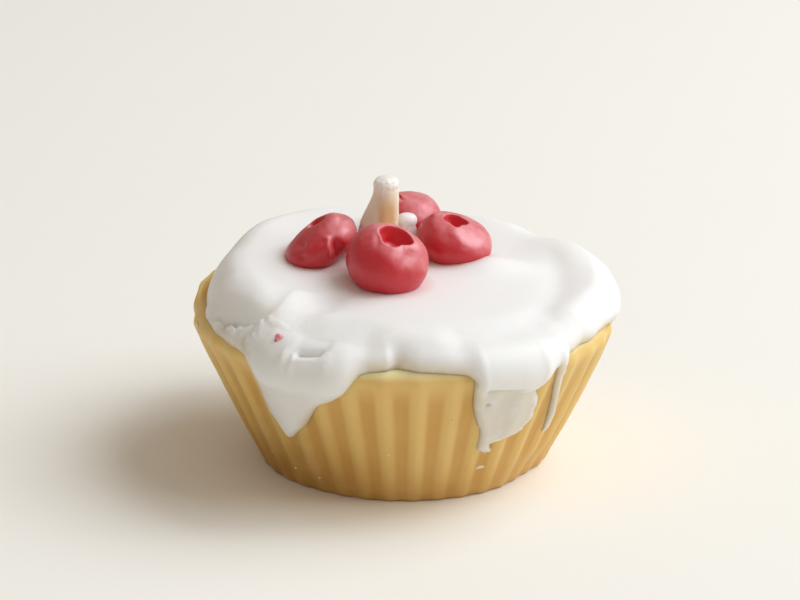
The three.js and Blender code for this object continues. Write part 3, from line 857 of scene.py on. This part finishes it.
def wick_mesh(tip):
    below_tip, middles, radii = np.array(WICK_STATIONS).T
    at = np.concatenate([np.linspace(below_tip[0], -2, 46)[:-1], np.linspace(-2, 0, 26)])
    rows = zip(tip + at, np.interp(at, below_tip, middles), np.interp(at, below_tip, radii))
    points, faces = post(rows, WICK_Y)
    middle_x = np.interp(points[:, 2] - tip, below_tip, middles)
    axis = np.stack([middle_x, np.full(len(points), WICK_Y), points[:, 2]], 1)
    out = directions(points - axis)
    frost = smooth(tip - 3.2, tip - 0.9, points[:, 2] + 0.5 * grain(points, 1.4, 55))
    bumps = 0.14 * grain(points, 3, 51, 1) + 0.05 * grain(points, 1.1, 52)
    bumps += 0.16 * frost * grain(points, 0.75, 53) - 0.1 * frost
    points = points + out * bumps[:, None]
    points[:, 2] = np.minimum(points[:, 2] + 0.1 * frost * grain(points, 0.8, 54, 1), tip + 0.08)
    return points, faces, frost


class CANDLE_OT_wick(bpy.types.Operator):
    """Sets the waxed wick stub and the bead of wax beside it"""

    bl_idname = "candle.wick"
    bl_label = "Wick and Bead"

    def execute(self, context):
        sizes = context.scene.candle_sizes
        colours = context.scene.candle_colours
        points, faces, frost = wick_mesh(sizes.wick_height / MM)
        made = mesh_object("waxed_wick", points, faces, wick_wax(colours))
        attribute(made, "frost", frost)
        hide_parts("wick")
        points, faces = bead_mesh(Icing(sizes))
        made = mesh_object("wax_bead", points, faces, poured_wax(colours, tinged=False))
        attribute(made, "thickness", np.full(len(points), 3.0))
        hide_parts("bead")
        return {"FINISHED"}


# The bead: x, y and height of its top, its radius, and how far its widest part lies below the top.
BEAD = (0.5, 4.4, 38.95, 1.65, 1.1)


def bead_mesh(icing):
    x, y, top, radius, drop = BEAD
    seat = float(icing.top(x, y)) - 0.2
    middle = top - drop
    rows = [(seat, x, 1.2 * radius), (seat + 0.5, x, 1.05 * radius)]
    rows += [(z, x, 0.93 * radius) for z in np.linspace(seat + 1.2, middle - 1.5, 5)]
    for angle in np.linspace(-45, 87, 24):
        a = math.radians(angle)
        rows.append((middle + drop * math.sin(a), x, radius * math.cos(a) ** 0.62))
    points, faces = post(rows, y)
    out = directions(points - np.array([x, y, middle]))
    points = points + out * (0.08 * grain(points, 1.8, 61, 1))[:, None]
    points[:, 2] = np.minimum(points[:, 2], top + 0.02)
    return points, faces


# Flecks of wax: azimuth, s on the cup's path, half sizes across and down, thickness.
CUP_FLECKS = (
    (-55.6, 23.3, 0.2, 0.2, 0.15), (-43.2, 24.6, 0.18, 0.22, 0.15), (-33, 25.4, 0.24, 0.2, 0.15),
    (-77, 3.2, 0.5, 1.0, 0.14),
    (-5.0, 18.2, 0.2, 0.25, 0.16), (13.8, 10.7, 0.18, 0.3, 0.14), (27.4, 22.3, 0.9, 0.36, 0.25),
)
PINK_FLECK = (-34.9, 0.64, 0.66, 0.75, 0.45)
CHIP_COLUMNS = 14
CHIP_PROFILE = ((-0.6, 0.9), (0.0, 1.0), (0.6, 0.85), (0.95, 0.45))  # rise and share of the width


def chip(centre, out, across, down, sizes, seed):
    """A small rough flake lying on a surface."""
    turn = np.radians(all_round(CHIP_COLUMNS))
    half_across, half_down, thick = sizes
    ragged = 1 + 0.22 * np.sin(3 * turn + seed) + 0.12 * np.sin(5 * turn + 2 * seed)
    outline = np.outer(ragged * np.cos(turn) * half_across, across)
    outline += np.outer(ragged * np.sin(turn) * half_down, down)
    rings = [centre + share * outline + out * thick * rise for rise, share in CHIP_PROFILE]
    return skin(rings)


def surface_frame(point_at, azimuth, s):
    """A point of a surface and the directions out, across and down there."""
    step = 0.3
    turns, runs = np.array([azimuth, azimuth, azimuth + step]), np.array([s, s + step, s])
    here, below, beside = point_at(turns, runs)
    down = (below - here) / np.linalg.norm(below - here)
    across = (beside - here) / np.linalg.norm(beside - here)
    out = np.cross(down, across)
    return here, out / np.linalg.norm(out), across, down


class CANDLE_OT_flecks(bpy.types.Operator):
    """Scatters the few flecks of wax on the cup, and the pink fleck on the icing"""

    bl_idname = "candle.flecks"
    bl_label = "Flecks"

    def execute(self, context):
        icing = Icing(context.scene.candle_sizes)
        points, faces = [], []
        for seed, (azimuth, s, *spread) in enumerate(CUP_FLECKS):
            at = surface_frame(lambda a, s: icing.place(a, s, np.full(len(a), 0.02)), azimuth, s)
            more, more_faces = chip(*at, spread, seed)
            faces += [[i + len(points) for i in f] for f in more_faces]
            points += more.tolist()
        material = fleck_wax("pale flecks of wax", "#f0dcae", "#f3e6d4")
        made = mesh_object("pale_flecks", points, faces, material)
        azimuth, s, *spread = PINK_FLECK
        at = surface_frame(lambda a, s: icing.face(a, s, icing.edge_distance(a, s))[0], azimuth, s)
        material = fleck_wax("pink fleck of wax", "#d9737d", "#eab4b4")
        made = mesh_object("pink_fleck", *chip(*at, spread, 9), material)
        return {"FINISHED"}


# ---- Materials ----


def add(tree, kind, inputs=None, **settings):
    """Adds a node with its settings and its inputs, each a value or another node's output, and
    gives its outputs."""
    node = tree.nodes.new("ShaderNode" + kind)
    for key, value in settings.items():
        setattr(node, key, value)
    for key, value in (inputs or {}).items():
        if isinstance(value, bpy.types.NodeSocket):
            tree.links.new(value, node.inputs[key])
        else:
            node.inputs[key].default_value = value
    return node.outputs


def blank(name):
    """A new material, its empty node tree and the place on the object in metres."""
    material = bpy.data.materials.new(name)
    material.use_nodes = True
    tree = material.node_tree
    tree.nodes.clear()
    return material, tree, add(tree, "TexCoord")["Object"]


def soft_noise(place, millimetres):
    """The inputs of a noise with features of a size."""
    return {"Vector": place, "Scale": 1 / (millimetres * MM), "Detail": 3.0, "Roughness": 0.55}


def layered(tree, base, layers):
    """The base colour with layers over it. A layer is its colour, its strength and the fields that
    it shows by, each with the values where it begins and is full, or alone if it runs from 0."""
    for tint, strength, *fields in layers:
        factor = strength
        for field, *span in fields:
            if span:
                spread = {"Value": field, "From Min": span[0], "From Max": span[1]}
                field = add(tree, "MapRange", spread, interpolation_type="SMOOTHSTEP")["Result"]
            factor = add(tree, "Math", {0: field, 1: factor}, operation="MULTIPLY")[0]
        base = add(tree, "Mix", {0: factor, 6: base, 7: tint}, data_type="RGBA")[2]
    return base


def finish_wax(tree, place, base, grain_size, grain_depth, roughness, specular, glow, coat=0.0):
    """The shader of a wax surface: light spreads under it, and a fine grain breaks its sheen. Its
    glow is the share of light that spreads, how far each colour goes, and the whole distance."""
    height = add(tree, "TexNoise", soft_noise(place, grain_size))["Fac"]
    bump = {"Height": height, "Strength": 0.5, "Distance": grain_depth * MM}
    inputs = {
        "Base Color": base,
        "Normal": add(tree, "Bump", bump)["Normal"],
        "IOR": 1.44,
        "Roughness": roughness,
        "Specular IOR Level": specular,
        "Subsurface Weight": glow[0],
        "Subsurface Radius": glow[1],
        "Subsurface Scale": glow[2] * MM,
        "Coat Weight": coat,
        "Coat Roughness": roughness,
    }
    shader = add(tree, "BsdfPrincipled", inputs, subsurface_method="RANDOM_WALK")
    add(tree, "OutputMaterial", {"Surface": shader["BSDF"]})


def moulded_wax(colours, cup):
    """Ochre paraffin cast in a fluted mould: translucent and satin, with a deeper ochre painted in
    as shade in the grooves, towards the foot and low on the left, and a paler band along the thin
    rim painted as a highlight where it catches the light, fading out on the shaded left."""
    material, tree, place = blank("moulded ochre wax")
    x, y, height = add(tree, "SeparateXYZ", {0: place})
    front = add(tree, "Math", {0: y, 1: -1.0}, operation="MULTIPLY")[0]
    azimuth = add(tree, "Math", {0: x, 1: front}, operation="ARCTAN2")[0]
    start = -cup.flutes * math.radians(cup.FLUTE_TURN)
    phase = add(tree, "Math", {0: azimuth, 1: cup.flutes, 2: start}, operation="MULTIPLY_ADD")[0]
    crest = add(tree, "Math", {0: phase}, operation="COSINE")[0]
    cloud = add(tree, "TexNoise", soft_noise(place, 7))["Fac"]
    layers = (
        # Painted shade in the grooves between the flutes, below the rim.
        (colours.groove_shade, 0.75, (crest, 0.55, -0.75), (height, 23.5 * MM, 19 * MM)),
        # Painted shade: a darker ochre towards the foot.
        (linear("#c89348"), 0.55, (height, 10 * MM, 0.0)),
        # Painted shade: a deeper ochre low on the left, the side turned away from the lamps.
        (linear("#a0701f"), 0.75, (x, 4 * MM, -20 * MM), (height, 22 * MM, 0.0)),
        # Painted highlight: a pale band along the rim's top, fading out towards the shaded left.
        (linear("#fff0bc"), 1.0, (height, 23.4 * MM, 25 * MM), (x, -24 * MM, -4 * MM)),
        (linear("#edcd8b"), 0.22, (cloud, 0.35, 0.7)),
    )
    base = layered(tree, colours.cup, layers)
    finish_wax(tree, place, base, 0.9, 0.02, 0.46, 0.4, (0.45, (1.0, 0.68, 0.3), 3.0))
    return material


def poured_wax(colours, tinged=True):
    """White paraffin poured warm: smooth and satin, beige where it is thin over the ochre wax, and
    pink beside the red berries, partly a stain from their wax and partly a painted red glow from
    them."""
    material, tree, place = blank("poured white wax" if tinged else "white wax bead")
    thick = add(tree, "Attribute", attribute_name="thickness")["Fac"]
    mottle = add(tree, "TexNoise", soft_noise(place, 2.5))["Fac"]
    layers = [(colours.film, 1.0, (thick, 2.6, 0.5), (mottle, 0.1, 0.55))]
    for (x, y, z), radius, *_ in BERRIES.values() if tinged else ():
        seat = Vector((x, y, z - 3.4)) * MM
        away = add(tree, "VectorMath", {0: place, 1: seat}, operation="DISTANCE")["Value"]
        # Pink round each berry's seat: partly a stain, partly a painted red glow from the berry.
        layers.append((colours.berry_tint, 0.33, (away, (radius + 1.6) * MM, (radius - 0.4) * MM)))
    base = layered(tree, colours.icing, layers)
    glow = (0.7 if tinged else 0.9, (1.0, 0.92, 0.84), 4.0)
    finish_wax(tree, place, base, 0.7, 0.02, 0.48, 0.35, glow)
    return material


def dyed_wax(colours):
    """Red dyed paraffin, cast and handled: a soft gloss, with a pale bloom on what faces up and to
    the right, partly dust on the tops and partly a painted sheen towards the lamps, and a clearer
    red inside the core."""
    material, tree, place = blank("red dyed wax")
    core = add(tree, "Attribute", attribute_name="core")["Fac"]
    # Up and to the right, towards the lamps: the pale layer below is partly dusty bloom, partly
    # painted sheen.
    bloom_and_sheen_facing = {0: add(tree, "NewGeometry")["Normal"], 1: (0.55, 0.0, 0.83)}
    up_and_lamp_side = add(tree, "VectorMath", bloom_and_sheen_facing, operation="DOT_PRODUCT")["Value"]
    mottle = add(tree, "TexNoise", soft_noise(place, 2.4))["Fac"]
    layers = (
        (colours.berry_core, 1.0, (core, 0.0, 0.3)),
        # Pale pink on the faces turned up and to the right: partly dusty bloom, partly painted
        # sheen from the lamps.
        (linear("#f4b4ba"), 0.6, (mottle, -0.1, 0.8), (up_and_lamp_side, 0.25, 0.9)),
    )
    base = layered(tree, colours.berry, layers)
    finish_wax(tree, place, base, 0.6, 0.07, 0.38, 0.6, (0.35, (1.0, 0.25, 0.2), 1.6), coat=0.3)
    return material


def wick_wax(colours):
    """A braided wick dipped in pale wax: its core shows warm through the coat, and its tip is
    frosted."""
    material, tree, place = blank("waxed wick")
    x, _, height = add(tree, "SeparateXYZ", {0: place})
    off = add(tree, "Math", {0: x, 1: -2.7 * MM}, operation="SUBTRACT")[0]
    off = add(tree, "Math", {0: off}, operation="ABSOLUTE")[0]
    frost = add(tree, "Attribute", attribute_name="frost")["Fac"]
    layers = (
        (colours.wick_core, 0.8, (off, 2.1 * MM, 0.7 * MM), (height, 44.5 * MM, 40.5 * MM)),
        (linear("#f4f0ea"), 1.0, (frost,)),
    )
    base = layered(tree, colours.wick, layers)
    finish_wax(tree, place, base, 0.5, 0.05, 0.5, 0.35, (0.5, (1.0, 0.75, 0.5), 1.5))
    return material


def fleck_wax(name, hex_colour, pale):
    """A crumb of wax with a dull broken surface."""
    material, tree, place = blank(name)
    mottle = add(tree, "TexNoise", soft_noise(place, 0.4))["Fac"]
    base = layered(tree, linear(hex_colour), [(linear(pale), 1.0, (mottle, 0.4, 0.7))])
    finish_wax(tree, place, base, 0.3, 0.03, 0.6, 0.5, (0.3, (1.0, 0.2, 0.1), 0.5))
    return material


def pale_floor(colours):
    """A sheet of matt paper: even, faintly mottled."""
    material, tree, place = blank("pale matt paper")
    mottle = add(tree, "TexNoise", soft_noise(place, 60))["Fac"]
    base = layered(tree, colours.floor, [(linear("#dcd6c8"), 0.06, (mottle,))])
    look = {"Base Color": base, "Roughness": 0.85, "Specular IOR Level": 0.1}
    add(tree, "OutputMaterial", {"Surface": add(tree, "BsdfPrincipled", look)["BSDF"]})
    return material


# ---- The stage ----

PICTURE_WIDTH = 800  # pixels, as the focal length
FOCAL_LENGTH = 3100
SENSOR_MM = 36.0
CAMERA_DISTANCE = 500.0
CAMERA_TARGET = (-0.65, 0.0, 25.7)
FLOOR_HALF = 4000.0
FLOOR_CORNERS = ((-1, -1), (1, -1), (1, 1), (-1, 1))
SKY_COLOUR, SKY_STRENGTH = "#fff3e3", 0.385
# Name, azimuth, rise and distance of the middle, width, power and colour.
LIGHTS = (
    ("front window", 79, 46, 1400, 1050, 9.6, "#f3f9ff"),
    ("rear window", 112, 48, 1400, 1050, 9.2, "#f3f9ff"),
)


class CANDLE_OT_stage(bpy.types.Operator):
    """Lays the pale floor and sets the soft lights and the camera"""

    bl_idname = "candle.stage"
    bl_label = "Stage"

    def execute(self, context):
        scene = context.scene
        corners = [(x * FLOOR_HALF, y * FLOOR_HALF, 0) for x, y in FLOOR_CORNERS]
        material = pale_floor(scene.candle_colours)
        floor = mesh_object("floor", corners, [[0, 1, 2, 3]], material, body=None)
        for name, azimuth, rise, distance, width, power, tint in LIGHTS:
            light = bpy.data.lights.new(name, "AREA")
            light.shape = "DISK"
            light.size = width * MM
            light.energy = power
            light.color = linear(tint)[:3]
            lamp = bpy.data.objects.new(name, light)
            scene.collection.objects.link(lamp)
            rise = math.radians(rise)
            place = (*polar(azimuth, distance * math.cos(rise)), distance * math.sin(rise))
            place = Vector(place) * MM
            lamp.location = place
            lamp.rotation_euler = (-place).to_track_quat("-Z", "Y").to_euler()
        world = bpy.data.worlds.new("studio")
        scene.world = world
        world.use_nodes = True
        background = world.node_tree.nodes["Background"]
        background.inputs["Color"].default_value = linear(SKY_COLOUR)
        background.inputs["Strength"].default_value = SKY_STRENGTH
        scene.view_settings.view_transform = "Standard"
        camera = bpy.data.objects.new("camera", bpy.data.cameras.new("camera"))
        scene.collection.objects.link(camera)
        camera.data.sensor_width = SENSOR_MM
        camera.data.lens = FOCAL_LENGTH / PICTURE_WIDTH * SENSOR_MM
        back = Vector((0, -math.cos(VIEW_RISE), math.sin(VIEW_RISE)))
        camera.location = (Vector(CAMERA_TARGET) + CAMERA_DISTANCE * back) * MM
        camera.rotation_euler = (math.pi / 2 - VIEW_RISE, 0, 0)
        camera.data.clip_start = 0.01
        scene.camera = camera
        return {"FINISHED"}


# ---- The panel and the registration ----


class CANDLE_PT_panel(bpy.types.Panel):
    """Sizes, colours and the steps that build the candle"""

    bl_idname = "CANDLE_PT_panel"
    bl_label = "Cake Candle"
    bl_space_type = "VIEW_3D"
    bl_region_type = "UI"
    bl_category = "Candle"

    def draw(self, context):
        for group in (context.scene.candle_sizes, context.scene.candle_colours):
            box = self.layout.box()
            for key in group.__annotations__:
                box.prop(group, key)
        for operator in OPERATORS:
            self.layout.operator(operator.bl_idname)


OPERATORS = (
    CANDLE_OT_stage,
    CANDLE_OT_cup,
    CANDLE_OT_icing,
    CANDLE_OT_berries,
    CANDLE_OT_wick,
    CANDLE_OT_flecks,
)
CLASSES = (CandleSizes, CandleColours, *OPERATORS, CANDLE_PT_panel)


def register():
    for cls in CLASSES:
        bpy.utils.register_class(cls)
    bpy.types.Scene.candle_sizes = bpy.props.PointerProperty(type=CandleSizes)
    bpy.types.Scene.candle_colours = bpy.props.PointerProperty(type=CandleColours)


def unregister():
    del bpy.types.Scene.candle_colours
    del bpy.types.Scene.candle_sizes
    for cls in reversed(CLASSES):
        bpy.utils.unregister_class(cls)


def main():
    register()
    bpy.ops.candle.stage()
    bpy.ops.candle.cup()
    bpy.ops.candle.icing()
    bpy.ops.candle.berries()
    bpy.ops.candle.wick()
    bpy.ops.candle.flecks()


if __name__ == "__main__":
    main()
